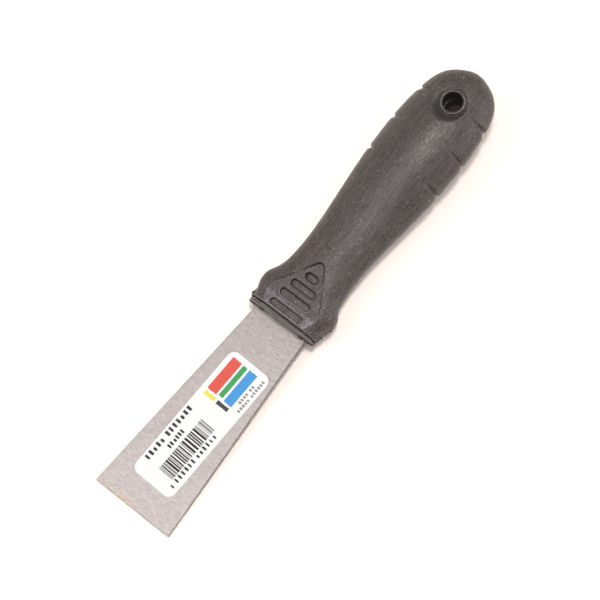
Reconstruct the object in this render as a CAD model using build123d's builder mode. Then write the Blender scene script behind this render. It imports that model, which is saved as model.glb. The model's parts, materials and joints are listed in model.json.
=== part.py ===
from build123d import *
import math
import os

# Paint scraper with a moulded handle. Sizes are in millimetres.
# The tool lies along X with its working edge at -X and its blade level. The origin is under the
# middle of its length, on the level of the handle's underside. Both faces of the handle are alike.
# A distance is measured back from the handle's front unless its comment says otherwise.

# Overall lengths
blade_reach = 94.6
handle_length = 129.3

# Blade
edge_width = 38.0
entry_width = 25.2
blade_thickness = 1.2
edge_bevel = 0.25
edge_corner_radius = 0.5

# Tang, the end of the blade that the handle hides
tang_width = 14.0
tang_length = 74.0
tang_shoulder_length = 14.0
tang_shoulder_slope = 4.0
tang_end_radius = 3.0
tang_hole_diameter = 6.0
tang_hole_pitch = 24.0
tang_hole_margin = 14.0
moulding_gap = 0.03

# Sticker, placed from the working edge and from the blade's middle line
sticker_length = 62.4
sticker_width = 20.6
sticker_thickness = 0.12
sticker_corner_radius = 3.3
sticker_edge_distance = 12.0
sticker_side_shift = 0.7
sticker_turn_degrees = -1.65

# Handle: full widths across and full heights through
bolster_front_width = 32.2
bolster_front_height = 12.8
shoulder_width = 36.0
shoulder_height = 13.8
shoulder_distance = 10.8
waist_width = 27.5
waist_height = 16.4
waist_distance = 32.6
grip_width = 36.0
grip_height = 24.0
grip_tail_length = 37.7
end_radius = 15.95
end_height = 17.8

# Collar and groove at the handle's front
collar_length = 1.2
collar_width = 31.6
collar_height = 12.0
collar_bow = 0.6
groove_length = 1.1
groove_depth = 0.9

# Recessed panel on the bolster, its floor level at first and then rising with the handle to the apex
panel_depth = 0.5
panel_front_width = 25.4
panel_shoulder_width = 24.0
panel_shoulder_distance = 10.8
panel_shoulder_radius = 6.0
panel_length = 28.3
panel_apex_radius = 2.2
panel_bend_distance = 7.9

# Row of pockets in the panel, longest at the front, and the two round pads beside the first
pocket_width = 3.2
pocket_depth = 1.0
pocket_pitch = 5.5
first_pocket_distance = 4.6
pocket_lengths = [16.6, 15.0, 12.1, 6.0]
pad_diameter = 4.8
pad_depth = 0.12
pad_spacing = 20.4
pad_distance = 5.4

# Hang hole, its raised ring, and the dished recess that leaves the ring standing
hole_end_distance = 16.7
hole_diameter = 8.3
ring_diameter = 11.2
ring_height = 17.0
ring_rounding = 0.45
recess_floor_diameter = 12.5
recess_step = 0.5

# Notches in both flanks of the grip, the last one beside the hang hole and a little ahead of it
notch_count = 3
notch_depth = 1.1
notch_front_length = 2.0
notch_back_length = 0.9
notch_reach = 0.5
notch_pitch = 16.2
last_notch_lead = 0.9

# Room by which cutting shapes overrun the surfaces that they cut
overrun = 2.0

# Angles and shares that shape the handle
panel_rise_degrees = 2.0
recess_wall_degrees = 50.0
end_start_degrees = 12.0
bolster_flank_share = 0.97
waist_flank_share = 0.70
grip_flank_share = 0.62
flare_half_share = 0.29
flare_power_share = 3.0
swell_power_share = 0.87
tail_power_share = 2.4
end_dome_share = 0.6
bolster_shares = [0.0, 0.25, 0.5, 0.75, 1.0]
flare_shares = [0.0, 0.08, 0.18, 0.3, 0.45, 0.7, 1.0]
swell_shares = [0.25, 0.5, 0.75, 1.0]
tail_shares = [0.25, 0.5, 0.75]
end_turn_shares = [0.0, 0.25, 0.5, 0.75]

# Points of a section between flank and crown, and the share of the way round that each step takes
flank_steps = 2
crown_steps = 3
flank_step_share = 1.0
crown_step_share = 2.0

# Places that follow from the sizes
edge_x = -(blade_reach + handle_length) / 2
handle_x = edge_x + blade_reach
level_z = grip_height / 2
grip_distance = handle_length - grip_tail_length
end_distance = handle_length - end_radius
hole_distance = handle_length - hole_end_distance
last_notch_distance = hole_distance - last_notch_lead
bolster_front_distance = collar_length + groove_length
panel_floor_height = shoulder_height / 2 - panel_depth
recess_floor_height = ring_height / 2 - recess_step
end_start = math.radians(end_start_degrees)
tail_distance = end_distance + end_radius * math.sin(end_start)


def across(distance):
    """Plane standing across the handle."""
    return Plane(origin=(handle_x + distance, 0, level_z), x_dir=(0, 1, 0), z_dir=(1, 0, 0))


def facing(side, height):
    """Plane above (1) or below (-1) the blade's middle, facing out, with its X from the handle's front."""
    return Plane(origin=(handle_x, 0, level_z + side * height), x_dir=(1, 0, 0), z_dir=(0, 0, side))


def rising(side, depth):
    """Plane below the panel's rising floor by a depth, facing out, with its X from the floor's bend."""
    rise = math.radians(panel_rise_degrees)
    bend_height = panel_floor_height - depth * math.cos(rise)
    return Plane(
        origin=(handle_x + panel_bend_distance + depth * math.sin(rise), 0, level_z + side * bend_height),
        x_dir=(math.cos(rise), 0, side * math.sin(rise)),
        z_dir=(-math.sin(rise), 0, side * math.cos(rise)),
    )


def share_of(distance, start, end):
    """How far a distance lies between two others."""
    return (distance - start) / (end - start)


def ease(low, high, share):
    """Change from one size to another that starts and ends level."""
    return low + (high - low) * (1 - math.cos(math.pi * share)) / 2


def flare(share):
    """What is left of the shoulder's extra width on the way to the waist: level, a quick fall, level."""
    left = 1 / (1 + (share / flare_half_share) ** flare_power_share)
    last = 1 / (1 + (1 / flare_half_share) ** flare_power_share)
    return (left - last) / (1 - last)


def half_width(distance):
    """Half of the handle's width: bolster, flare to the waist, swell to the grip, tail and round end."""
    if distance <= shoulder_distance:
        share = share_of(distance, bolster_front_distance, shoulder_distance)
        return ease(bolster_front_width, shoulder_width, share) / 2
    if distance <= waist_distance:
        share = share_of(distance, shoulder_distance, waist_distance)
        return (waist_width + (shoulder_width - waist_width) * flare(share)) / 2
    if distance <= grip_distance:
        share = share_of(distance, waist_distance, grip_distance) ** swell_power_share
        return ease(waist_width, grip_width, share) / 2
    if distance <= tail_distance:
        fall = share_of(distance, grip_distance, tail_distance) ** tail_power_share
        return grip_width / 2 - (grip_width / 2 - end_radius * math.cos(end_start)) * fall
    return math.sqrt(end_radius**2 - (distance - end_distance) ** 2)


def half_height(distance):
    """Half of the handle's height, by the same stretches."""
    if distance <= shoulder_distance:
        share = share_of(distance, bolster_front_distance, shoulder_distance)
        return ease(bolster_front_height, shoulder_height, share) / 2
    if distance <= waist_distance:
        share = share_of(distance, shoulder_distance, waist_distance)
        return ease(shoulder_height, waist_height, share) / 2
    if distance <= grip_distance:
        share = share_of(distance, waist_distance, grip_distance)
        return ease(waist_height, grip_height, share) / 2
    if distance <= tail_distance:
        fall = share_of(distance, grip_distance, tail_distance) ** tail_power_share
        tail_height = end_height * math.cos(end_start) ** end_dome_share
        return (grip_height - (grip_height - tail_height) * fall) / 2
    return end_height / 2 * (half_width(distance) / end_radius) ** end_dome_share


def flank_share(distance):
    """How much of the half height the round flank takes: nearly all at the bolster, less behind."""
    if distance <= shoulder_distance:
        return bolster_flank_share
    if distance <= waist_distance:
        share = share_of(distance, shoulder_distance, waist_distance)
        return ease(bolster_flank_share, waist_flank_share, share)
    if distance <= grip_distance:
        share = share_of(distance, waist_distance, grip_distance)
        return ease(waist_flank_share, grip_flank_share, share)
    return grip_flank_share


def oval(width_half, height_half, share):
    """Section as one smooth closed curve: a flat crown above and below, and a round flank each side."""
    flank_radius = height_half * share
    flank_centre = width_half - flank_radius
    rise = height_half**2 - flank_radius**2
    crown_radius = (flank_centre**2 + rise) / (2 * (height_half - flank_radius))
    crown_centre = height_half - crown_radius
    meeting_angle = math.atan2(flank_centre, -crown_centre)
    corner = []
    for step in range(flank_steps):
        angle = math.pi / 2 + (meeting_angle - math.pi / 2) * step / flank_steps
        y = flank_centre + flank_radius * math.sin(angle)
        corner.append((y, flank_radius * math.cos(angle)))
    for step in range(crown_steps):
        angle = meeting_angle * (crown_steps - step) / crown_steps
        z = crown_centre + crown_radius * math.cos(angle)
        corner.append((crown_radius * math.sin(angle), z))
    upper = corner + [(0, height_half)] + [(-y, z) for y, z in reversed(corner)]
    lower = [(-y, -z) for y, z in upper[1:-1]]
    points = [Vector(y, z) for y, z in upper + lower]
    with BuildSketch() as shape:
        with BuildLine():
            add(Edge.make_spline(points, periodic=True, parameters=oval_turns()))
        make_face()
    return shape.sketch


def oval_turns():
    """Shares of the way round at a section's points, alike for all sections so that the skin is even."""
    corner = [flank_step_share] * flank_steps + [crown_step_share] * crown_steps
    steps = 2 * (corner + corner[::-1])
    return [sum(steps[:count]) / sum(steps) for count in range(len(steps) + 1)]


def handle_section(distance):
    """The handle's own section, standing at its distance."""
    with BuildSketch(across(distance)) as section:
        add(oval(half_width(distance), half_height(distance), flank_share(distance)))
    return section.sketch


def bolster_distances():
    """Where the bolster's sections stand, from its front to the shoulder."""
    length = shoulder_distance - bolster_front_distance
    return [bolster_front_distance + length * share for share in bolster_shares]


def grip_distances():
    """Where the sections behind the shoulder stand, to just short of the end."""
    flare = waist_distance - shoulder_distance
    swell = grip_distance - waist_distance
    tail = tail_distance - grip_distance
    distances = [shoulder_distance + flare * share for share in flare_shares]
    distances += [waist_distance + swell * share for share in swell_shares]
    distances += [grip_distance + tail * share for share in tail_shares]
    for share in end_turn_shares:
        angle = end_start + (math.pi / 2 - end_start) * share
        distances.append(end_distance + end_radius * math.sin(angle))
    return distances


def blade_outline(gap):
    """Outline of blade and tang, grown by a gap where the handle's plastic lies round it."""
    taper = (edge_width - entry_width) / 2 / blade_reach
    shoulder_x = handle_x + tang_shoulder_length + gap
    shoulder_half = entry_width / 2 - taper * tang_shoulder_length + gap
    neck_x = shoulder_x + tang_shoulder_slope
    tang_half = tang_width / 2 + gap
    tang_x = handle_x + tang_length + gap
    hole_x = handle_x + tang_length - tang_hole_margin
    with BuildSketch() as shape:
        with BuildLine():
            Polyline(
                (edge_x, edge_width / 2),
                (shoulder_x, shoulder_half),
                (neck_x, tang_half),
                (tang_x, tang_half),
                (tang_x, -tang_half),
                (neck_x, -tang_half),
                (shoulder_x, -shoulder_half),
                (edge_x, -edge_width / 2),
                close=True,
            )
        make_face()
        fillet(shape.vertices().group_by(Axis.X)[0], edge_corner_radius)
        fillet(shape.vertices().group_by(Axis.X)[-1], tang_end_radius)
        with Locations((hole_x, 0), (hole_x - tang_hole_pitch, 0)):
            Circle(tang_hole_diameter / 2 - gap, mode=Mode.SUBTRACT)
    return shape.sketch


def collar_front():
    """What is taken off ahead of the collar's bowed front, seen from its face."""
    collar_half = collar_width / 2
    with BuildSketch() as shape:
        with BuildLine():
            ThreePointArc((collar_bow, -collar_half), (0, 0), (collar_bow, collar_half))
            Polyline(
                (collar_bow, collar_half),
                (-overrun, collar_half),
                (-overrun, -collar_half),
                (collar_bow, -collar_half),
            )
        make_face()
    return shape.sketch


def panel_outline():
    """Panel seen from its face: square front, rounded shoulders and straight sides to a round apex."""
    with BuildSketch() as shape:
        with BuildLine():
            Line((collar_length, -panel_front_width / 2), (collar_length, panel_front_width / 2))
            Line(
                (panel_shoulder_distance, -panel_shoulder_width / 2),
                (panel_shoulder_distance, panel_shoulder_width / 2),
            )
            CenterArc((panel_length - panel_apex_radius, 0), panel_apex_radius, 0, 360)
        make_hull()
        corners = shape.vertices().group_by(Axis.X)[1]
        fillet(corners, panel_shoulder_radius)
    return shape.sketch


# Blade: a tapering steel blank that runs on into the tang, with its working edge dressed
with BuildPart() as blade:
    with BuildSketch(Plane.XY.offset(level_z - blade_thickness / 2)):
        add(blade_outline(0))
    extrude(amount=blade_thickness)
    working_edges = blade.faces().sort_by(Axis.X)[0].edges().filter_by(Axis.Y)
    chamfer(working_edges, edge_bevel)
blade.part.label = "blade"

# Room for the blank in the handle: the plastic sets round the tang and through its holes
with BuildPart() as tang_room:
    with BuildSketch(Plane.XY.offset(level_z - blade_thickness / 2 - moulding_gap)):
        add(blade_outline(moulding_gap))
    extrude(amount=blade_thickness + 2 * moulding_gap)

# Room of the panel on the upper face: its outline from above, cut to its bent floor from the side
with BuildPart() as panel_room:
    with BuildSketch(facing(1, 0)):
        add(panel_outline())
    extrude(amount=grip_height)
    with BuildSketch(Plane(origin=(handle_x, 0, level_z), x_dir=(1, 0, 0), z_dir=(0, -1, 0))):
        with BuildLine():
            rise = (panel_length - panel_bend_distance) * math.tan(math.radians(panel_rise_degrees))
            Polyline(
                (0, panel_floor_height),
                (panel_bend_distance, panel_floor_height),
                (panel_length, panel_floor_height + rise),
                (panel_length, grip_height),
                (0, grip_height),
                close=True,
            )
        make_face()
    extrude(amount=panel_front_width / 2, both=True, mode=Mode.INTERSECT)

# Notch cutters: slabs across the grip, hollowed so that only the flanks are cut
with BuildPart() as notches:
    for step in range(notch_count):
        middle = last_notch_distance - notch_pitch * step
        front = middle - 2 * notch_front_length
        back = middle + 2 * notch_back_length
        width_half = half_width(middle)
        height_half = half_height(middle) + notch_reach
        share = flank_share(middle)
        with BuildSketch(across(front)):
            Rectangle(grip_width + 2 * overrun, grip_height + 2 * overrun)
        extrude(amount=back - front)
        with BuildSketch(across(front), mode=Mode.PRIVATE) as front_section:
            add(oval(width_half + notch_depth, height_half + notch_depth, share))
        with BuildSketch(across(middle), mode=Mode.PRIVATE) as middle_section:
            add(oval(width_half - notch_depth, height_half, share))
        with BuildSketch(across(back), mode=Mode.PRIVATE) as back_section:
            add(oval(width_half + notch_depth, height_half + notch_depth, share))
        loft(
            [front_section.sketch, middle_section.sketch, back_section.sketch],
            ruled=True,
            mode=Mode.SUBTRACT,
        )

# Handle: collar, groove, bolster, grip and domed end in one moulding
with BuildPart() as handle:
    with BuildSketch(across(0)):
        add(oval(collar_width / 2, collar_height / 2, bolster_flank_share))
    extrude(amount=collar_length)
    with BuildSketch(facing(1, -grip_height / 2)):
        add(collar_front())
    extrude(amount=grip_height, mode=Mode.SUBTRACT)
    with BuildSketch(across(collar_length)):
        core_half_width = bolster_front_width / 2 - groove_depth
        core_half_height = bolster_front_height / 2 - groove_depth
        add(oval(core_half_width, core_half_height, bolster_flank_share))
    extrude(amount=groove_length)
    loft([handle_section(distance) for distance in bolster_distances()])
    grip_sections = [handle_section(distance) for distance in grip_distances()]
    loft(grip_sections + [Vertex(handle_x + handle_length, 0, level_z)])

    # Panel, pockets and pads on both faces
    add(panel_room.part, mode=Mode.SUBTRACT)
    mirror(panel_room.part, about=facing(1, 0), mode=Mode.SUBTRACT)
    for side in (1, -1):
        with BuildSketch(facing(side, panel_floor_height - pocket_depth)):
            with Locations((first_pocket_distance, 0)):
                SlotOverall(pocket_lengths[0], pocket_width, rotation=90)
        extrude(amount=grip_height / 2, mode=Mode.SUBTRACT)
        with BuildSketch(rising(side, pocket_depth)):
            for step, length in enumerate(pocket_lengths[1:], start=1):
                distance = first_pocket_distance + pocket_pitch * step
                with Locations((distance - panel_bend_distance, 0)):
                    SlotOverall(length, pocket_width, rotation=90)
        extrude(amount=grip_height / 2, mode=Mode.SUBTRACT)
        with BuildSketch(facing(side, panel_floor_height - pad_depth)):
            with Locations((pad_distance, -pad_spacing / 2), (pad_distance, pad_spacing / 2)):
                Circle(pad_diameter / 2)
        extrude(amount=grip_height / 2, mode=Mode.SUBTRACT)

    # Dished recess on both faces, then the ring that stands in it and the hole through both
    for side in (1, -1):
        with BuildSketch(facing(side, recess_floor_height)):
            with Locations((hole_distance, 0)):
                Circle(recess_floor_diameter / 2)
        extrude(amount=grip_height / 2, taper=-recess_wall_degrees, mode=Mode.SUBTRACT)
    with BuildSketch(facing(1, -ring_height / 2)):
        with Locations((hole_distance, 0)):
            Circle(ring_diameter / 2)
    extrude(amount=ring_height)
    with BuildSketch(facing(1, -grip_height / 2)):
        with Locations((hole_distance, 0)):
            Circle(hole_diameter / 2)
    extrude(amount=grip_height, mode=Mode.SUBTRACT)
    rims = handle.edges().filter_by(GeomType.CIRCLE).group_by(Axis.Z)
    fillet(rims[0] + rims[-1], ring_rounding)

    add(notches.part, mode=Mode.SUBTRACT)
    add(tang_room.part, mode=Mode.SUBTRACT)
handle.part.label = "handle"

# Sticker: thin paper on the blade's upper face, put on a little askew
with BuildPart() as sticker:
    sticker_x = edge_x + sticker_edge_distance + sticker_length / 2
    sticker_place = Plane(origin=(sticker_x, -sticker_side_shift, level_z + blade_thickness / 2))
    with BuildSketch(sticker_place.rotated((0, 0, sticker_turn_degrees))):
        RectangleRounded(sticker_length, sticker_width, sticker_corner_radius)
    extrude(amount=sticker_thickness)
sticker.part.label = "sticker"

os.makedirs("parts", exist_ok=True)
for piece in (blade.part, handle.part, sticker.part):
    export_step(piece, f"parts/{piece.label}.step")
    print(piece.label, "solids:", len(piece.solids()), "volume:", round(piece.volume))
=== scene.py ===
import json
import math
import random

import bmesh
import bpy
import numpy as np
from mathutils import Matrix, Vector, noise


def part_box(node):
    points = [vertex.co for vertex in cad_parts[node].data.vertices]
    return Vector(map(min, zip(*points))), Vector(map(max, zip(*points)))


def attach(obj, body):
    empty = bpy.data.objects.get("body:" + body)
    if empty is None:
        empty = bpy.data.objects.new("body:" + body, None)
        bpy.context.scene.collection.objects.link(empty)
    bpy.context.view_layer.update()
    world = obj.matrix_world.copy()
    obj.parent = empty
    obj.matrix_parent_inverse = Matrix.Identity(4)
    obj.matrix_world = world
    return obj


# Looks of a paint scraper: steel blade, dark moulded handle and a printed paper sticker.
# Sizes are in metres in the frame's own axes: +X from the working edge to the handle's end, +Z up.
# A span is where a fade starts and where it ends. Three sizes are along, across and up. A place is
# the middle of an oval, along and across, and its reach both ways.

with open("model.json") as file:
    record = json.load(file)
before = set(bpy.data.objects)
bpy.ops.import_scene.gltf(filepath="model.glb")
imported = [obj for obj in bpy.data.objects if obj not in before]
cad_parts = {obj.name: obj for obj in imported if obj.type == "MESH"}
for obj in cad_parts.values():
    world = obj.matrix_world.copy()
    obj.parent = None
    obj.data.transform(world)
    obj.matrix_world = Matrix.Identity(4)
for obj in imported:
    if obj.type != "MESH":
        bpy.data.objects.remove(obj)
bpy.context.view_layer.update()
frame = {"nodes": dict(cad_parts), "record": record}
blade_low, blade_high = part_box("blade")
handle_low, handle_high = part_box("handle")
blade_level = (blade_low.z + blade_high.z) / 2
hang_hole = frame["record"]["mounts"][0]
hole_middle = Vector(hang_hole["pos_m"])
hole_radius = hang_hole["dims"]["r_mm"] / 1000

# Shares of the blade's half width that the tang and the handle's mouth round the blade stay within, and
# the share of the handle's length that the room for the tang stays within
tang_half_share = 0.55
mouth_half_share = 0.68
room_length_share = 0.6

# Camera: what lies at the middle of the picture, where it stands from there, and its lens.
# A bearing is in degrees about +Z from +X, and an elevation in degrees above the level.
camera_target = Vector((-0.005235, -0.000015, blade_level))
camera_bearing = -115.115
camera_elevation = 73.744
camera_distance = 0.98124
camera_up_bearing = 38.9
camera_lens = 146.76
camera_sensor = 36.0
camera_clip_start = 0.01
camera_clip_end = 20.0

# Lamps: name, bearing, elevation, distance, width, watts and tint
lamps = [
    ("key_lamp", 125.0, 45.0, 1.0, 0.6, 2.9, (1.0, 0.985, 0.97)),
    ("top_lamp", -20.0, 78.5, 1.2, 0.2, 6.0, (1.0, 0.99, 0.98)),
    ("fill_lamp", -50.0, 20.0, 1.0, 0.4, 2.4, (1.0, 0.985, 0.97)),
]

# Surroundings: how brightly they light the tool from low down and from overhead, and their tint
sky_low_strength = 0.75
sky_high_strength = 0.13
sky_tint = (1.0, 0.99, 0.98)
white = (1.0, 1.0, 1.0)
black = (0.0, 0.0, 0.0)

# Floor: half its width, where it turns plain white, its tint, and the warm painted shade close to the tool
floor_reach = 3.0
floor_plain_span = (0.25, 0.60)
floor_tint = (1.42, 1.28, 1.21)
contact_shade_reach = 0.018
contact_shade_span = (0.02, 0.46)
contact_shade_tint = (0.16, 0.125, 0.11)

# Painted deep shade on the floor under the hang hole
hole_shade_place = ((0.0970, 0.0037), (0.012, 0.012))
hole_shade_tint = (0.050, 0.045, 0.047)
hole_shade_strength = 0.96

# Steel: fine ground lines, broad ones, and cloudy patches. Painted shade darkens it towards the handle.
steel_line_size = (0.00026, 0.0019, 0.001)
steel_line_share = 0.92
steel_band_size = (0.00060, 0.0070, 0.002)
steel_tone_span = (0.29, 0.71)
steel_dark = (0.294, 0.260, 0.252)
steel_pale = (0.446, 0.403, 0.392)
steel_patch_size = 0.018
steel_patch_strength = 0.16
steel_patch_tint = (0.35, 0.31, 0.295)
steel_rough = 0.58
steel_smooth = 0.48
steel_relief = 0.00001
inward_painted_shade = 0.23

# Dark line along the blade's sides, measured in from them
side_line_span = (0.00006, 0.00030)
side_line_strength = 0.60
side_line_tint = (0.13, 0.115, 0.105)

# Stain and dry crust at the working edge: how far back they reach, and between which places across
stain_back_span = (0.0004, 0.0042)
stain_near_span = (-0.001, 0.004)
stain_far_span = (0.012, 0.017)
stain_size = 0.0011
stain_spot_span = (0.46, 0.62)
stain_strength = 0.8
stain_tint = (0.40, 0.30, 0.17)
crust_size = (0.0006, 0.0010, 0.0006)
crust_spot_span = (0.60, 0.66)
crust_tint = (0.70, 0.63, 0.52)

# Handle's skin: fine grain, blotches, and streaks along the handle, with the share of each
skin_grain_size = 0.00055
skin_grain_share = 0.60
skin_blotch_size = (0.0045, 0.003, 0.003)
skin_blotch_share = 0.14
skin_streak_size = (0.013, 0.0010, 0.0010)
skin_streak_share = 0.26
skin_tone_span = (0.41, 0.59)
skin_dark = (0.013, 0.0080, 0.0068)
skin_pale = (0.092, 0.071, 0.0635)
skin_rough = 0.37
skin_smooth = 0.285

# Relief of the skin: its tone, its pebbles, the long waves of the moulding, and scratches
tone_relief = 0.00005
pebble_size = 0.00045
pebble_relief = 0.00007
wave_size = (0.011, 0.0022, 0.003)
wave_relief = 0.00022
scratch_size = (0.0030, 0.00030, 0.0005)
scratch_relief = 0.00004

# Pale marks: scuffs in scattered groups, and specks
scuff_span = (0.62, 0.72)
scuff_group_size = 0.009
scuff_group_span = (0.45, 0.62)
scuff_strength = 0.55
speck_size = (0.0013, 0.0009, 0.0009)
speck_span = (0.715, 0.76)
mark_strength = 0.8
mark_tint = (0.32, 0.295, 0.28)

# Painted sheen and painted shade on the grip, both in streaks along it
sheen_patch_place = ((0.078, -0.0045), (0.016, 0.0060))
sheen_streak_size = (0.0022, 0.00040, 0.0010)
sheen_streak_span = (0.48, 0.60)
sheen_strength = 0.55
sheen_tint = (0.26, 0.23, 0.21)
grip_shade_place = ((0.070, -0.0105), (0.034, 0.0050))
grip_shade_streak_size = (0.0060, 0.0009, 0.0015)
grip_shade_streak_span = (0.44, 0.60)
grip_shade_strength = 0.6
grip_shade_tint = (0.012, 0.009, 0.008)

# Worn band with painted sheen round the first pocket, stronger on the pads at its two ends than on the bar
# between them, measured back from the handle's front and out from its middle. It lies within a depth of the
# panel's floor.
worn_sheen_front_span = (0.0020, 0.0026)
worn_sheen_back_span = (0.0075, 0.0080)
worn_sheen_side_span = (0.0116, 0.0128)
worn_sheen_pad_span = (0.0082, 0.0090)
worn_sheen_bar_share = 0.45
worn_sheen_depth = 0.0004
worn_sheen_stray = 0.0008
worn_sheen_stray_size = 0.0016
worn_sheen_patch_size = 0.0011
worn_sheen_patch_span = (0.36, 0.60)
worn_sheen_strength = 0.85
worn_sheen_tint = (0.235, 0.215, 0.245)

# Edges: the radius by which they are rounded, the cosine between the rounded and the sharp skin where they
# get painted highlights and where they get painted shade, and how open they lie
edge_radius = 0.0006
highlight_facing_span = (0.90, 0.985)
highlight_open_span = (0.86, 0.96)
highlight_strength = 0.95
highlight_tint = (0.45, 0.42, 0.41)
crease_shade_facing_span = (0.962, 0.998)
crease_shade_open_span = (0.72, 0.92)
crease_shade_tint = (0.006, 0.005, 0.0045)

# Creases of the panel that get painted shade, measured as the worn band is, and the ring, where edges get a
# painted highlight
crease_front_span = (0.0095, 0.0115)
crease_back_span = (0.0315, 0.0325)
crease_side_span = (0.0130, 0.0140)
ring_reach = (0.0095, 0.0095)

# Painted shade on the steep walls of the dish round the ring
dish_place = ((0.0940, 0.0), (0.0088, 0.0072))
dish_core = 0.75
dish_level_span = (0.86, 0.985)
dish_shade_strength = 0.75
dish_shade_tint = (0.010, 0.0075, 0.007)

# Painted shade in crevices: how far round a point is searched, on the skin and at the ring. The skin's gloss
# goes from the crevices to the open skin, and the notches on the -Y side get less painted shade than the
# rest.
crevice_reach = 0.0012
crevice_ring_reach = 0.0040
crevice_open_span = (0.45, 0.95)
crevice_shade_tint = (0.008, 0.0065, 0.006)
unshaded_side_span = (-0.0120, -0.0100)
unshaded_side_share = 0.65
crevice_gloss = 0.1
open_gloss = 0.5

# Thin trim, where torn plastic is darker than the skin and rubbed plastic paler and browner: name of its
# material, size of its mottle, its dark and pale colours, its roughness and its relief
parting_look = ("parting_plastic", 0.0008, (0.075, 0.062, 0.054), (0.19, 0.165, 0.15), 0.48, 0.00002)
flash_look = ("flash_plastic", 0.0004, (0.020, 0.018, 0.017), (0.060, 0.054, 0.050), 0.5, 0.00004)

# Coated paper: its tooth and its cockling
paper_tooth_size = 0.0003
paper_tooth_relief = 0.000006
paper_cockle_size = 0.008
paper_cockle_relief = 0.00008
paper_dark = (0.955, 0.955, 0.95)
paper_pale = (0.985, 0.985, 0.98)
paper_roughness = 0.38

# Printing ink: its speckle, and how much paler the speckles of a strong ink are
ink_speckle_size = 0.00035
ink_speckle_span = (0.3, 0.7)
ink_relief = 0.000004
ink_roughness = 0.5
ink_gloss = 0.2
ink_faded = 0.07

# Parting line round the handle: cut a little above the blade's middle, clear of the mesh's own points
weld_distance = 1e-7
parting_step = 0.00025
parting_cut = blade_level + 0.00002
parting_height = 0.00008
parting_level = 0.7
parting_swing = 0.6
parting_waves = 260
parting_half_width = 0.00011
parting_sink = 0.00006
parting_gap = 4 * parting_step
shortest_run = 8

# Middle line of the handle, which its outline faces away from: its ends, in from the handle's own
spine_front = 0.020
spine_end = 0.016

# Flash that stands on the parting line near the front, higher at the corners
flash_reach = 0.0155
flash_full_reach = 0.010
flash_width = 0.0010
flash_thickness = 0.00018
flash_droop = 0.0002
flash_droop_waves = 900
flash_corner_share = 1.6
flash_corner_swell = 0.35
flash_corner_reach = 0.0055
flash_step = 0.00016
flash_root = 0.00025

# Torn edge of the flash: its seed and level, then length, row of the noise and share of each of its waves
torn_seed = 5
torn_level = 0.15
torn_waves = [(0.0028, 0, 1.1), (0.0008, 3, 0.6), (0.0003, 7, 0.25)]

# Ring of flash inside the hang hole, at the parting plane
bore_flash_width = 0.00035
bore_flash_thickness = 0.00025
bore_flash_points = 96
bore_flash_level = 0.8
bore_flash_swing = 0.5
bore_flash_waves = 2.4

# Crumbs of flash on the blade, close to the handle's front: their radius and its shares, how many radii
# they lie ahead of it and above the blade, how far aside, as a share of the blade's half width there, and
# how flat and how lumpy they are
crumb_count = 14
crumb_radius = 0.00028
crumb_radius_shares = (0.6, 1.4)
crumb_ahead = (0.2, 1.4)
crumb_lift = 0.4
crumb_aside = (0.72, 0.99)
crumb_stretch = Vector((1.3, 1.1, 0.6))
crumb_lump = 0.55
crumb_waves = 4200

# Print on the sticker, along (u) and across (v) from its middle: start, end, top and bottom of each stroke
print_thickness = 0.00002
stroke_ragged = 0.0004
stroke_ragged_share = 0.1
stroke_teeth = 7
stroke_places = [
    (0.0124, 0.0289, 0.0080, 0.0034),
    (0.0130, 0.0289, 0.0025, 0.0003),
    (0.0124, 0.0289, -0.0007, -0.0048),
    (0.0098, 0.0117, 0.0078, 0.0022),
    (0.0098, 0.0117, 0.0012, -0.0046),
]
stroke_inks = [
    ("ink_red", (0.80, 0.085, 0.055)),
    ("ink_green", (0.035, 0.36, 0.09)),
    ("ink_blue", (0.045, 0.33, 0.75)),
    ("ink_yellow", (0.88, 0.80, 0.10)),
    ("ink_black", (0.040, 0.028, 0.038)),
]

# Strip of plain bars, whose widths and gaps are whole numbers of units, dark and grey, all grey at its end.
# Each ink has a name, a tint and how much paler its speckles are.
bar_inks = [
    ("ink_dark", (0.014, 0.011, 0.014), 0.03),
    ("ink_grey", (0.24, 0.215, 0.215), 0.2),
]
bar_start = -0.0243
bar_end = 0.0016
bar_grey_start = -0.0012
bar_grey_chance = 0.15
bar_low = -0.0057
bar_high = 0.0015
bar_unit = 0.00033
bar_widths = (1, 1, 2, 2, 3)
bar_gaps = (1, 1, 2)

# Rows of plain dashes: start, bottom, height, width and gap of a dash, gap between groups, and how many
# dashes each group has
dash_rows = [
    (-0.0243, 0.0069, 0.0024, 0.0012, 0.0010, 0.0012, (5, 7)),
    (-0.0154, 0.0032, 0.0020, 0.0009, 0.0006, 0.0003, (2, 4)),
    (-0.0268, -0.0083, 0.0021, 0.0009, 0.0011, 0.0008, (1, 6, 6)),
]
grey_dash_rows = [
    (0.0158, -0.0069, 0.0012, 0.0010, 0.0004, 0.0009, (4, 2)),
    (0.0128, -0.0089, 0.0013, 0.0010, 0.0004, 0.0010, (5, 6)),
]
dash_width_shares = (0.8, 1.0)
dash_cuts = (0, 0, 0.25)

random.seed(7)
noise.seed_set(7)


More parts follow.
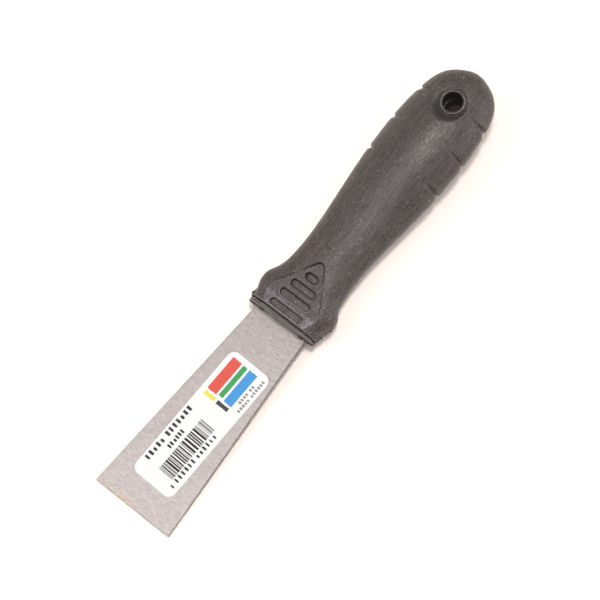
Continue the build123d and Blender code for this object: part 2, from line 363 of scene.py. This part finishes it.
class Shader:
    """Node tree of a material or a world, with short ways to add the nodes that are used here."""

    def __init__(self, owner, places="Object"):
        owner.use_nodes = True
        self.owner = owner
        self.tree = owner.node_tree
        self.tree.nodes.clear()
        self.place = self.node("TexCoord").outputs[places]
        self.x, self.y, self.z = self.node("SeparateXYZ", Vector=self.place).outputs

    def feed(self, socket, value):
        """Link a socket to another, or set its value."""
        if isinstance(value, bpy.types.NodeSocket):
            self.tree.links.new(value, socket)
        else:
            socket.default_value = value

    def node(self, kind, **inputs):
        """A new node, with the inputs that are named."""
        made = self.tree.nodes.new("ShaderNode" + kind)
        for name, value in inputs.items():
            self.feed(made.inputs[name.replace("_", " ")], value)
        return made

    def maths(self, operation, *values, kind="Math", output="Value"):
        """Result of an operation on the values."""
        made = self.node(kind)
        made.operation = operation
        for socket, value in zip(made.inputs, values):
            self.feed(socket, value)
        return made.outputs[output]

    def times(self, first, *others):
        """Product of all the values."""
        for other in others:
            first = self.maths("MULTIPLY", first, other)
        return first

    def mixed(self, *parts):
        """Sum of values, each with its share."""
        total = 0.0
        for value, share in parts:
            total = self.maths("MULTIPLY_ADD", value, share, total)
        return total

    def spread(self, value, low, high):
        """0 to 1 turned into low to high."""
        return self.maths("MULTIPLY_ADD", value, high - low, low)

    def past(self, value, span, smooth=True):
        """0 before a span, and 1 past it."""
        made = self.node("MapRange", Value=value, From_Min=span[0], From_Max=span[1])
        made.interpolation_type = "SMOOTHSTEP" if smooth else "LINEAR"
        return made.outputs["Result"]

    def until(self, value, span):
        """1 before a span, and 0 past it."""
        return self.maths("SUBTRACT", 1.0, self.past(value, span))

    def oval(self, middle, reach, core=0.2):
        """1 round a middle along and across, and 0 past its reach; the core is the squared share at 1."""
        along = self.maths("DIVIDE", self.maths("SUBTRACT", self.x, middle[0]), reach[0])
        aside = self.maths("DIVIDE", self.maths("SUBTRACT", self.y, middle[1]), reach[1])
        squared = self.maths("MULTIPLY_ADD", along, along, self.times(aside, aside))
        return self.until(squared, (core, 1.0))

    def cloud(self, size, detail=3.0, rough=0.5):
        """Noise from 0 to 1 whose blotches are about this many metres across, on each axis if it's three."""
        sizes = size if isinstance(size, tuple) else (size, size, size)
        rates = tuple(1 / length for length in sizes)
        scaled = self.maths("MULTIPLY", self.place, rates, kind="VectorMath", output="Vector")
        return self.node("TexNoise", Vector=scaled, Scale=1.0, Detail=detail, Roughness=rough).outputs["Fac"]

    def blend(self, share, first, second):
        """First colour at share 0, second at 1."""
        made = self.node("MixRGB")
        for socket, value in zip(made.inputs, (share, first, second)):
            self.feed(socket, value)
        return made.outputs[0]

    def painted(self, shade, tint, *shares):
        """A shade covered by a tint, as far as the product of the shares."""
        return self.blend(self.times(*shares), shade, colour(tint))

    def bump(self, height, distance, under=None):
        """Normals of a relief, which may lie on another one."""
        made = self.node("Bump", Height=height, Distance=distance, Strength=1.0)
        if under is not None:
            self.feed(made.inputs["Normal"], under)
        return made.outputs["Normal"]

    def either(self, share, first, second):
        """First surface at share 0, second at 1."""
        made = self.node("MixShader")
        for socket, value in zip(made.inputs, (share, first.outputs[0], second.outputs[0])):
            self.feed(socket, value)
        return made

    def seen_by(self, *kinds):
        """1 for rays of these kinds."""
        path = self.node("LightPath")
        share = 0.0
        for kind in kinds:
            share = self.maths("MAXIMUM", share, path.outputs[f"Is {kind} Ray"])
        return share

    def finish(self, surface):
        """The material or world, with this surface."""
        kind = "OutputWorld" if isinstance(self.owner, bpy.types.World) else "OutputMaterial"
        self.node(kind, Surface=surface.outputs[0])
        return self.owner

    def coat(self, shade, relief, **inputs):
        """The material, from its colour, its relief and the other inputs of its surface."""
        return self.finish(self.node("BsdfPrincipled", Base_Color=shade, Normal=relief, **inputs))


def new_shader(name):
    return Shader(bpy.data.materials.new(name))


def colour(tint):
    return (*tint, 1.0)


def direction(bearing, elevation):
    """Unit vector towards a bearing and an elevation in degrees."""
    turn = math.radians(bearing)
    rise = math.radians(elevation)
    return Vector((math.cos(turn) * math.cos(rise), math.sin(turn) * math.cos(rise), math.sin(rise)))


def node_points(name):
    """Places of a CAD node's mesh points."""
    return [vertex.co for vertex in frame["nodes"][name].data.vertices]


def blade_taper():
    """Half width at the working edge, and how much of it is lost with each metre."""
    corners = [point for point in node_points("blade") if point.y > tang_half_share * blade_high.y]
    last = max(corners, key=lambda corner: corner.x)
    return blade_high.y, (blade_high.y - last.y) / (last.x - blade_low.x)


def steel_material():
    """Satin steel, ground across the blade, with dark lines along its sides and stains at the working edge.
    """
    shader = new_shader("brushed_steel")
    lines = shader.cloud(steel_line_size, detail=2.0)
    bands = shader.cloud(steel_band_size, rough=0.6)
    grain = shader.mixed((lines, steel_line_share), (bands, 1 - steel_line_share))
    tone = shader.past(grain, steel_tone_span, smooth=False)
    shade = shader.blend(tone, colour(steel_dark), colour(steel_pale))
    shade = shader.painted(shade, steel_patch_tint, shader.cloud(steel_patch_size), steel_patch_strength)
    # Painted shade: the steel is darkened towards the handle in place of the light's gradient along the
    # blade.
    inward = shader.past(shader.x, (blade_low.x, handle_low.x), smooth=False)
    shade = shader.painted(shade, black, inward, inward_painted_shade)

    half, taper = blade_taper()
    back = shader.maths("SUBTRACT", shader.x, blade_low.x)
    half_here = shader.maths("SUBTRACT", half, shader.times(back, taper))
    inside = shader.maths("SUBTRACT", half_here, shader.maths("ABSOLUTE", shader.y))
    shade = shader.painted(shade, side_line_tint, shader.until(inside, side_line_span), side_line_strength)

    across = shader.times(shader.past(shader.y, stain_near_span), shader.until(shader.y, stain_far_span))
    stained = shader.times(shader.until(back, stain_back_span), across)
    spots = shader.past(shader.cloud(stain_size, detail=4.0, rough=0.7), stain_spot_span)
    shade = shader.painted(shade, stain_tint, stained, spots, stain_strength)
    crust = shader.past(shader.cloud(crust_size, detail=2.0), crust_spot_span)
    shade = shader.painted(shade, crust_tint, stained, crust)

    rough = shader.spread(tone, steel_rough, steel_smooth)
    return shader.coat(shade, shader.bump(grain, steel_relief), Metallic=1.0, Roughness=rough)


def skin_tone(shader):
    """Grainy mottle of the skin, with paler and darker streaks that run along the handle."""
    grain = shader.cloud(skin_grain_size, rough=0.6)
    blotches = shader.cloud(skin_blotch_size, rough=0.6)
    streaks = shader.cloud(skin_streak_size, detail=4.0, rough=0.6)
    shares = (skin_grain_share, skin_blotch_share, skin_streak_share)
    mottle = shader.mixed(*zip((grain, blotches, streaks), shares))
    return shader.past(mottle, skin_tone_span, smooth=False)


def scuffed(shader, shade, scratches):
    """Skin with pale scuffs in scattered groups, and specks."""
    groups = shader.past(shader.cloud(scuff_group_size, detail=2.0), scuff_group_span)
    scuffs = shader.times(shader.past(scratches, scuff_span), groups, scuff_strength)
    specks = shader.past(shader.cloud(speck_size, detail=1.0), speck_span)
    return shader.painted(shade, mark_tint, shader.maths("MAXIMUM", scuffs, specks), mark_strength)


def painted_sheen_and_shade(shader, shade):
    """Skin with a painted sheen at one place of the grip, and painted shade at another, both in streaks."""
    streaks = shader.past(shader.cloud(sheen_streak_size, detail=4.0, rough=0.65), sheen_streak_span)
    # Painted sheen: pale streaks where the grip catches the light.
    shade = shader.painted(shade, sheen_tint, shader.oval(*sheen_patch_place), streaks, sheen_strength)
    grip_shade_streaks = shader.past(shader.cloud(grip_shade_streak_size, rough=0.6), grip_shade_streak_span)
    # Painted shade: dark streaks along the grip's -Y side, beside the sheen.
    return shader.painted(shade, grip_shade_tint, shader.oval(*grip_shade_place), grip_shade_streaks, grip_shade_strength)


def panel_height():
    """Height of the panel's floor above the blade's middle, where the worn band with painted sheen lies."""
    end = handle_low.x + worn_sheen_back_span[1]
    points = [point for point in node_points("handle") if point.x < end and abs(point.y) < worn_sheen_side_span[1]]
    return max(point.z for point in points) - blade_level


def worn_sheen_band(shader):
    """Where the skin is worn pale with a painted sheen: a band round the first pocket, on the panel's floor
    only.
    """
    stray = shader.spread(shader.cloud(worn_sheen_stray_size, detail=4.0, rough=0.65), -worn_sheen_stray, worn_sheen_stray)
    back = shader.maths("ADD", shader.maths("SUBTRACT", shader.x, handle_low.x), stray)
    aside = shader.maths("ADD", shader.maths("ABSOLUTE", shader.y), stray)
    along = shader.times(shader.past(back, worn_sheen_front_span), shader.until(back, worn_sheen_back_span))
    band = shader.times(along, shader.until(aside, worn_sheen_side_span))
    up = shader.maths("ABSOLUTE", shader.maths("SUBTRACT", shader.z, blade_level))
    floor = panel_height()
    on_floor = shader.past(up, (floor - worn_sheen_depth, floor - worn_sheen_depth / 2))
    patches = shader.past(shader.cloud(worn_sheen_patch_size, detail=4.0, rough=0.7), worn_sheen_patch_span)
    strength = shader.spread(shader.past(aside, worn_sheen_pad_span), worn_sheen_bar_share, 1.0)
    return shader.times(band, on_floor, patches, strength)


def edged(shader, shade, rounded, openness, ring):
    """Skin with painted highlights on the edges at the front and on the ring, and painted shade in the
    panel's creases.
    """
    skin = shader.node("NewGeometry").outputs["Normal"]
    facing = shader.maths("DOT_PRODUCT", rounded, skin, kind="VectorMath")
    back = shader.maths("SUBTRACT", shader.x, handle_low.x)
    behind = shader.past(back, crease_front_span)
    highlighted = shader.maths("MAXIMUM", shader.maths("SUBTRACT", 1.0, behind), ring)
    edges = shader.times(shader.until(facing, highlight_facing_span), shader.past(openness, highlight_open_span))
    # Painted highlight: pale edges at the front and on the ring.
    shade = shader.painted(shade, highlight_tint, edges, highlighted, highlight_strength)
    aside = shader.maths("ABSOLUTE", shader.y)
    creased = shader.times(behind, shader.until(back, crease_back_span), shader.until(aside, crease_side_span))
    shallow = shader.past(openness, crease_shade_open_span)
    # Painted shade: dark lines along the panel's creases.
    return shader.painted(shade, crease_shade_tint, shader.until(facing, crease_shade_facing_span), creased, shallow)


def shaded_dish(shader, shade):
    """Skin with painted shade on the steep walls of the dish round the ring."""
    upward = shader.node("SeparateXYZ", Vector=shader.node("NewGeometry").outputs["Normal"]).outputs["Z"]
    steep = shader.until(shader.maths("ABSOLUTE", upward), dish_level_span)
    # Painted shade: the dish's steep walls are darkened.
    return shader.painted(shade, dish_shade_tint, steep, shader.oval(*dish_place, core=dish_core), dish_shade_strength)


def plastic_material():
    """Matt moulded plastic with scuffs, specks and a worn band, painted sheen on the grip and worn band,
    painted highlights on edges, and painted shade on the grip, in creases, in the dish and in crevices.
    """
    shader = new_shader("moulded_plastic")
    tone = skin_tone(shader)
    scratches = shader.cloud(scratch_size, detail=2.0)
    shade = shader.blend(tone, colour(skin_dark), colour(skin_pale))
    shade = scuffed(shader, shade, scratches)
    shade = painted_sheen_and_shade(shader, shade)
    # Worn band with painted sheen: pale round the first pocket.
    shade = shader.painted(shade, worn_sheen_tint, worn_sheen_band(shader), worn_sheen_strength)

    bevel = shader.node("Bevel", Radius=edge_radius)
    bevel.samples = 8
    rounded = bevel.outputs["Normal"]
    ring = shader.oval(hole_middle, ring_reach)
    reach = shader.spread(ring, crevice_reach, crevice_ring_reach)
    crevice = shader.node("AmbientOcclusion", Distance=reach)
    crevice.samples = 12
    crevice.only_local = True
    openness = crevice.outputs["AO"]
    shade = edged(shader, shade, rounded, openness, ring)
    shade = shaded_dish(shader, shade)
    unshaded = shader.past(openness, crevice_open_span)
    unshaded_side = shader.times(shader.until(shader.y, unshaded_side_span), unshaded_side_share)
    unshaded = shader.maths("MAXIMUM", unshaded, unshaded_side)
    # Painted shade in crevices, from how closed in each point is.
    shade = shader.painted(shade, crevice_shade_tint, shader.maths("SUBTRACT", 1.0, unshaded))

    relief = shader.bump(tone, tone_relief, rounded)
    relief = shader.bump(shader.cloud(pebble_size, rough=0.6), pebble_relief, relief)
    relief = shader.bump(shader.cloud(wave_size, rough=0.55), wave_relief, relief)
    relief = shader.bump(scratches, scratch_relief, relief)
    rough = shader.spread(tone, skin_rough, skin_smooth)
    gloss = shader.spread(unshaded, crevice_gloss, open_gloss)
    return shader.coat(shade, relief, Roughness=rough, Specular_IOR_Level=gloss, IOR=1.5)


def mottled_plastic(name, size, dark, pale, roughness, relief):
    """Plastic of the thin trim, mottled between two colours."""
    shader = new_shader(name)
    mottle = shader.cloud(size, rough=0.6)
    shade = shader.blend(mottle, colour(dark), colour(pale))
    return shader.coat(shade, shader.bump(mottle, relief), Roughness=roughness)


def paper_material():
    """White coated paper, a little cockled, with a faint tooth."""
    shader = new_shader("sticker_paper")
    tooth = shader.cloud(paper_tooth_size, rough=0.6)
    cockle = shader.bump(shader.cloud(paper_cockle_size, detail=2.0), paper_cockle_relief)
    shade = shader.blend(tooth, colour(paper_dark), colour(paper_pale))
    return shader.coat(shade, shader.bump(tooth, paper_tooth_relief, cockle), Roughness=paper_roughness)


def ink_material(name, tint, faded=ink_faded):
    """Printing ink, a little uneven, on coated paper."""
    shader = new_shader(name)
    speckle = shader.cloud(ink_speckle_size, rough=0.7)
    pale = tuple(level + (1 - level) * faded for level in tint)
    shade = shader.blend(shader.past(speckle, ink_speckle_span), colour(tint), colour(pale))
    relief = shader.bump(speckle, ink_relief)
    return shader.coat(shade, relief, Roughness=ink_roughness, Specular_IOR_Level=ink_gloss)


def floor_material():
    """White floor that shows the lamps' shadows, with a warm painted shade close to the tool. Light for the
    underside comes up through it.
    """
    shader = new_shader("studio_floor")
    # Painted shade: the floor is darkened and warmed where the tool closes it in.
    near = shader.node("AmbientOcclusion", Distance=contact_shade_reach)
    near.samples = 16
    openness = shader.past(near.outputs["AO"], contact_shade_span)
    shade = shader.blend(openness, colour(contact_shade_tint), colour(floor_tint))
    # Painted shade: deep shade on the floor under the hang hole.
    shade = shader.painted(shade, hole_shade_tint, shader.oval(*hole_shade_place), hole_shade_strength)
    shaded = shader.node("BsdfDiffuse", Color=shade)
    plain = shader.node("Emission", Color=colour(white), Strength=1.0)
    far = shader.past(shader.maths("LENGTH", shader.place, kind="VectorMath"), floor_plain_span)
    above = shader.either(far, shaded, plain)

    from_above = shader.maths("SUBTRACT", 1.0, shader.node("NewGeometry").outputs["Backfacing"])
    shown = shader.times(shader.seen_by("Camera", "Glossy", "Transmission"), from_above)
    return shader.finish(shader.either(shown, shader.node("BsdfTransparent"), above))


def new_piece(name, mesh, materials):
    """A piece made from a bmesh whose points are already in the frame's axes."""
    data = bpy.data.meshes.new(name)
    bmesh.ops.recalc_face_normals(mesh, faces=mesh.faces)
    mesh.to_mesh(data)
    mesh.free()
    for material in materials:
        data.materials.append(material)
    piece = bpy.data.objects.new(name, data)
    bpy.context.scene.collection.objects.link(piece)
    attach(piece, "root")
    return piece


def chains(edges):
    """Edges joined end to end into lists of points."""
    waiting = dict.fromkeys(edges)
    found = []
    while waiting:
        edge = next(iter(waiting))
        del waiting[edge]
        chain = [edge.verts[0], edge.verts[1]]
        while True:
            onward = [other for other in chain[-1].link_edges if other in waiting]
            if not onward:
                break
            del waiting[onward[0]]
            chain.append(onward[0].other_vert(chain[-1]))
        found.append([vertex.co.copy() for vertex in chain])
    return found


def line_length(points):
    return sum((after - before).length for before, after in zip(points, points[1:]))


def handle_outline(height):
    """The handle's outline at a height, as points in order: the longest line where that level cuts it."""
    mesh = bmesh.new()
    mesh.from_mesh(frame["nodes"]["handle"].data)
    bmesh.ops.remove_doubles(mesh, verts=mesh.verts, dist=weld_distance)
    everything = mesh.verts[:] + mesh.edges[:] + mesh.faces[:]
    cut = bmesh.ops.bisect_plane(
        mesh, geom=everything, plane_co=(0, 0, height), plane_no=(0, 0, 1), clear_inner=True, clear_outer=True
    )
    lines = chains([piece for piece in cut["geom_cut"] if isinstance(piece, bmesh.types.BMEdge)])
    mesh.free()
    return max(lines, key=line_length)


def resampled(points, step):
    """Points spaced evenly along a line of points."""
    lengths = np.cumsum([0] + [(after - before).length for before, after in zip(points, points[1:])])
    wanted = np.arange(0, lengths[-1], step)
    axes = [np.interp(wanted, lengths, [point[axis] for point in points]) for axis in range(3)]
    return [Vector(values) for values in zip(*axes)]


def shown_runs(points, hidden):
    """Stretches of a closed line of points that show."""
    runs = [[]]
    for point in points:
        if not hidden(point):
            runs[-1].append(point)
        elif runs[-1]:
            runs.append([])
    runs = [run for run in runs if run]
    if len(runs) > 1 and (runs[-1][-1] - runs[0][0]).length < parting_gap:
        runs[0] = runs.pop() + runs[0]
    return [run for run in runs if len(run) > shortest_run]


def handle_runs():
    """The shown outline of the handle at its parting plane, without the walls of the blade's mouth."""
    room_end = handle_low.x + room_length_share * (handle_high.x - handle_low.x)
    mouth_half = mouth_half_share * blade_high.y
    points = resampled(handle_outline(parting_cut), parting_step)
    return shown_runs(points, lambda point: point.x < room_end and abs(point.y) < mouth_half)


def outward(points, index):
    """Level direction away from the handle at a point of its outline."""
    before = points[max(index - 1, 0)]
    after = points[min(index + 1, len(points) - 1)]
    along = (after - before).normalized()
    aside = Vector((along.y, -along.x, 0))
    spine_x = max(handle_low.x + spine_front, min(points[index].x, handle_high.x - spine_end))
    away = points[index] - Vector((spine_x, 0, points[index].z))
    return aside if aside.dot(away) > 0 else -aside


def torn_height(distance, seed):
    """Uneven height of a torn edge, 0 to 1, bare in places."""
    waves = [share * noise.noise(Vector((distance / length, seed, row))) for length, row, share in torn_waves]
    return max(0.0, min(1.0, sum(waves, torn_level)))


def join_rings(mesh, first, second):
    """Faces between two rings of points."""
    made = []
    for corner in range(len(first)):
        after = (corner + 1) % len(first)
        made.append(mesh.faces.new((first[corner], first[after], second[after], second[corner])))
    return made


def ribbon(mesh, sections):
    """Closed strip: each section holds its points, in order round it."""
    rings = [[mesh.verts.new(point) for point in section] for section in sections]
    for first, second in zip(rings, rings[1:]):
        join_rings(mesh, first, second)
    mesh.faces.new(rings[0])
    mesh.faces.new(rings[-1][::-1])


def make_parting(runs, material):
    """Thin witness line where the mould's halves met."""
    mesh = bmesh.new()
    half = Vector((0, 0, parting_half_width))
    for run in runs:
        sections = []
        for index, point in enumerate(run):
            away = outward(run, index)
            share = parting_level + parting_swing * noise.noise(point * parting_waves)
            root = point - away * parting_sink
            sections.append([root + half, point + away * parting_height * share, root - half])
        ribbon(mesh, sections)
    return new_piece("parting_line", mesh, [material])


def flash_height(point, distance, side):
    """How far the flash stands out at a point of its line: lower towards the shoulders, torn all along."""
    back = point.x - handle_low.x
    fade = 1 - max(0.0, back - flash_full_reach) / (flash_reach - flash_full_reach)
    torn = torn_height(distance, torn_seed * side)
    if back < flash_corner_reach:
        torn = (flash_corner_share if side > 0 else 1) * min(1.0, torn + flash_corner_swell)
    return flash_width * torn * max(0.0, fade)


def make_flash(runs, material):
    """Torn fins of plastic along the parting line, round the front and the shoulders."""
    mesh = bmesh.new()
    half = Vector((0, 0, flash_thickness / 2))
    for run in runs:
        for side in (1, -1):
            near = [point for point in run if point.x < handle_low.x + flash_reach and point.y * side > 0]
            if len(near) < shortest_run:
                continue
            line = resampled(near, flash_step)
            sections = []
            for index, point in enumerate(line):
                away = outward(line, index)
                droop = Vector((0, 0, flash_droop * noise.noise(point * flash_droop_waves)))
                root = point - away * flash_root
                tip = point + away * flash_height(point, index * flash_step, side) + droop
                sections.append([root + half, tip + half / 2, tip - half / 2, root - half])
            ribbon(mesh, sections)
    return new_piece("flash", mesh, [material])


def make_bore_flash(material):
    """Thin uneven ring of plastic inside the hang hole, where the mould's pins met."""
    mesh = bmesh.new()
    half = Vector((0, 0, bore_flash_thickness / 2))
    rings = []
    for step in range(bore_flash_points):
        turn = 2 * math.pi * step / bore_flash_points
        away = Vector((math.cos(turn), math.sin(turn), 0))
        share = bore_flash_level + bore_flash_swing * noise.noise(away * bore_flash_waves)
        outer = hole_middle + away * (hole_radius + bore_flash_width)
        inner = hole_middle + away * (hole_radius - bore_flash_width * share)
        section = (outer + half, inner + half / 2, inner - half / 2, outer - half)
        rings.append([mesh.verts.new(point) for point in section])
    for first, second in zip(rings, rings[1:] + rings[:1]):
        join_rings(mesh, first, second)
    return new_piece("bore_flash", mesh, [material])


def make_crumbs(material):
    """Loose crumbs of plastic that cling to the handle's front, on the blade, two of three towards +Y."""
    mesh = bmesh.new()
    half, taper = blade_taper()
    entry = half - taper * (handle_low.x - blade_low.x)
    for count in range(crumb_count):
        side = 1 if count % 3 else -1
        radius = crumb_radius * random.uniform(*crumb_radius_shares)
        ahead = radius * random.uniform(*crumb_ahead)
        aside = side * entry * random.uniform(*crumb_aside)
        middle = Vector((handle_low.x - ahead, aside, blade_high.z + crumb_lift * radius))
        made = bmesh.ops.create_icosphere(mesh, subdivisions=2, radius=radius)
        for vertex in made["verts"]:
            lump = 1 + crumb_lump * noise.noise(vertex.co * crumb_waves + Vector((count, 0, 0)))
            vertex.co = vertex.co * crumb_stretch * lump + middle
    return new_piece("flash_crumbs", mesh, [material])


def sticker_axes():
    """The middle of the sticker's upper face, and its directions along and across."""
    low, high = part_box("sticker")
    flat = np.array([(point.x, point.y) for point in node_points("sticker")])
    longest = np.linalg.svd(flat - flat.mean(axis=0), full_matrices=False)[2][0]
    along = Vector((longest[0], longest[1], 0))
    if along.x < 0:
        along = -along
    across = Vector((-along.y, along.x, 0))
    middle = (low + high) / 2
    return Vector((middle.x, middle.y, high.z)), along, across


def printed(mesh, axes, corners, ink):
    """A thin flat patch of ink on the sticker, from its corners along and across."""
    middle, along, across = axes
    lift = Vector((0, 0, print_thickness))
    base = [middle + along * u + across * v for u, v in corners]
    lower = [mesh.verts.new(point) for point in base]
    upper = [mesh.verts.new(point + lift) for point in base]
    faces = [mesh.faces.new(upper), mesh.faces.new(lower[::-1]), *join_rings(mesh, lower, upper)]
    for face in faces:
        face.material_index = ink


def print_box(mesh, axes, start, end, low, high, ink):
    """A printed rectangle."""
    printed(mesh, axes, [(start, low), (end, low), (end, high), (start, high)], ink)


def make_strokes():
    """Plain paint strokes with brushed ends."""
    inks = [ink_material(name, tint) for name, tint in stroke_inks]
    mesh = bmesh.new()
    axes = sticker_axes()
    for ink, (start, end, high, low) in enumerate(stroke_places):
        uneven = min(stroke_ragged, stroke_ragged_share * (end - start))
        levels = [high + (low - high) * tooth / stroke_teeth for tooth in range(stroke_teeth + 1)]
        first_end = [(start + uneven * random.random(), level) for level in levels]
        last_end = [(end - uneven * random.random(), level) for level in levels[::-1]]
        printed(mesh, axes, first_end + last_end, ink)
    return new_piece("print_strokes", mesh, inks)


def print_dashes(mesh, axes, rows, ink):
    """Rows of plain dashes in groups, uneven in width and height."""
    for u, low, height, width, gap, group_gap, groups in rows:
        for count in groups:
            for step in range(count):
                wide = width * random.uniform(*dash_width_shares)
                tall = height - height * random.choice(dash_cuts)
                print_box(mesh, axes, u, u + wide, low, low + tall, ink)
                u += width + gap
            u += group_gap


def make_bars():
    """A strip of plain bars, and rows of plain dashes above and below it."""
    dark, grey = range(len(bar_inks))
    inks = [ink_material(*values) for values in bar_inks]
    mesh = bmesh.new()
    axes = sticker_axes()
    u = bar_start
    while u < bar_end - bar_unit:
        width = bar_unit * random.choice(bar_widths)
        ink = grey if u > bar_grey_start or random.random() < bar_grey_chance else dark
        print_box(mesh, axes, u, u + width, bar_low, bar_high, ink)
        u += width + bar_unit * random.choice(bar_gaps)
    print_dashes(mesh, axes, dash_rows, dark)
    print_dashes(mesh, axes, grey_dash_rows, grey)
    return new_piece("print_bars", mesh, inks)


def make_floor():
    """Floor under the tilted tool, which rests on its working edge and on the grip's underside."""
    slope = max((blade_low.z - point.z) / (point.x - blade_low.x) for point in node_points("handle"))
    mesh = bmesh.new()
    corners = []
    for x, y in ((-1, -1), (1, -1), (1, 1), (-1, 1)):
        ahead = x * floor_reach
        corners.append(mesh.verts.new((blade_low.x + ahead, y * floor_reach, blade_low.z - slope * ahead)))
    mesh.faces.new(corners)
    data = bpy.data.meshes.new("floor")
    mesh.to_mesh(data)
    mesh.free()
    data.materials.append(floor_material())
    floor = bpy.data.objects.new("floor", data)
    bpy.context.scene.collection.objects.link(floor)


def make_lamp(name, bearing, elevation, distance, width, power, tint):
    """Soft square lamp that looks at the middle of the tool."""
    towards = direction(bearing, elevation)
    data = bpy.data.lights.new(name, "AREA")
    data.shape = "SQUARE"
    data.size = width
    data.energy = power
    data.color = tint
    lamp = bpy.data.objects.new(name, data)
    lamp.location = camera_target + towards * distance
    lamp.rotation_mode = "QUATERNION"
    lamp.rotation_quaternion = (-towards).to_track_quat("-Z", "Y")
    bpy.context.scene.collection.objects.link(lamp)


def make_world():
    """Pale surroundings: white where they are seen or mirrored, and as a light softer overhead."""
    shader = Shader(bpy.data.worlds.new("studio"), places="Generated")
    height = shader.past(shader.z, (0.0, 1.0), smooth=False)
    strength = shader.spread(height, sky_low_strength, sky_high_strength)
    lighting = shader.node("Background", Color=colour(sky_tint), Strength=strength)
    backdrop = shader.node("Background", Color=colour(white), Strength=1.0)
    seen = shader.seen_by("Camera", "Glossy")
    bpy.context.scene.world = shader.finish(shader.either(seen, lighting, backdrop))


def make_camera():
    """Camera at the viewing angle, turned so that the tool runs up to the right."""
    data = bpy.data.cameras.new("camera")
    data.sensor_width = camera_sensor
    data.lens = camera_lens
    data.clip_start = camera_clip_start
    data.clip_end = camera_clip_end
    camera = bpy.data.objects.new("camera", data)
    back = direction(camera_bearing, camera_elevation)
    up = direction(camera_up_bearing, 0)
    up = (up - back * up.dot(back)).normalized()
    right = up.cross(back)
    place = camera_target + back * camera_distance
    rows = [(right[axis], up[axis], back[axis], place[axis]) for axis in range(3)]
    camera.matrix_world = Matrix((*rows, (0, 0, 0, 1)))
    bpy.context.scene.collection.objects.link(camera)
    bpy.context.scene.camera = camera


def dress(node, material):
    """Give a CAD node its material."""
    data = frame["nodes"][node].data
    data.materials.clear()
    data.materials.append(material)


dress("blade", steel_material())
dress("handle", plastic_material())
dress("sticker", paper_material())

outline_runs = handle_runs()
make_parting(outline_runs, mottled_plastic(*parting_look))
flash_plastic = mottled_plastic(*flash_look)
make_flash(outline_runs, flash_plastic)
make_bore_flash(flash_plastic)
make_crumbs(flash_plastic)
make_strokes()
make_bars()

make_floor()
for lamp_values in lamps:
    make_lamp(*lamp_values)
make_world()
make_camera()

bpy.context.scene.view_settings.view_transform = "Standard"
